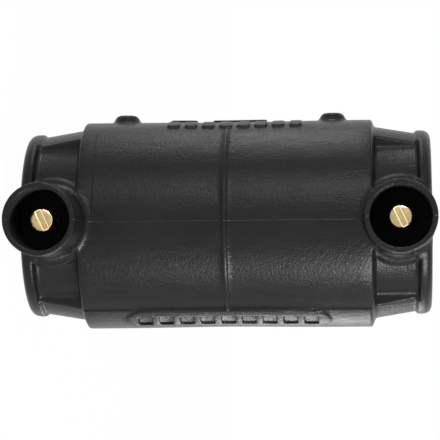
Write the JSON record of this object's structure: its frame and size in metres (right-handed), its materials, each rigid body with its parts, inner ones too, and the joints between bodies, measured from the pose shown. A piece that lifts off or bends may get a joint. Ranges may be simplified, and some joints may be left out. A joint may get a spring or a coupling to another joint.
{
  "type": "electrofusion coupler",
  "caption": "Short black moulded pipe coupler with a beaded mouth at each end, tall round terminal shrouds with brass pins, and a wound heating wire in its bore.",
  "frame": {"origin": "on the pipe axis, at the middle of the through bore", "axes": "+Z along the pipe axis, towards the upper mouth; the two terminal shrouds point to -Y and the fusion indicators to -X"},
  "size_m": [0.0408, 0.0524, 0.0778],
  "materials": {
    "pe100_moulding": "black polyethylene, injection moulded, semi-matt with faint flow marks",
    "resistance_wire": "drawn copper-nickel resistance wire, bare and slightly dull",
    "turned_brass": "machined brass, fine turning marks",
    "indicator_plastic": "black polyethylene, as moulded"
  },
  "bodies": {
    "root": {"body": "pe100_moulding", "heating_wire": "resistance_wire", "terminal_pin_lower": "turned_brass", "terminal_pin_upper": "turned_brass", "fusion_indicator_lower": "indicator_plastic", "fusion_indicator_upper": "indicator_plastic"}
  },
  "joints": []
}
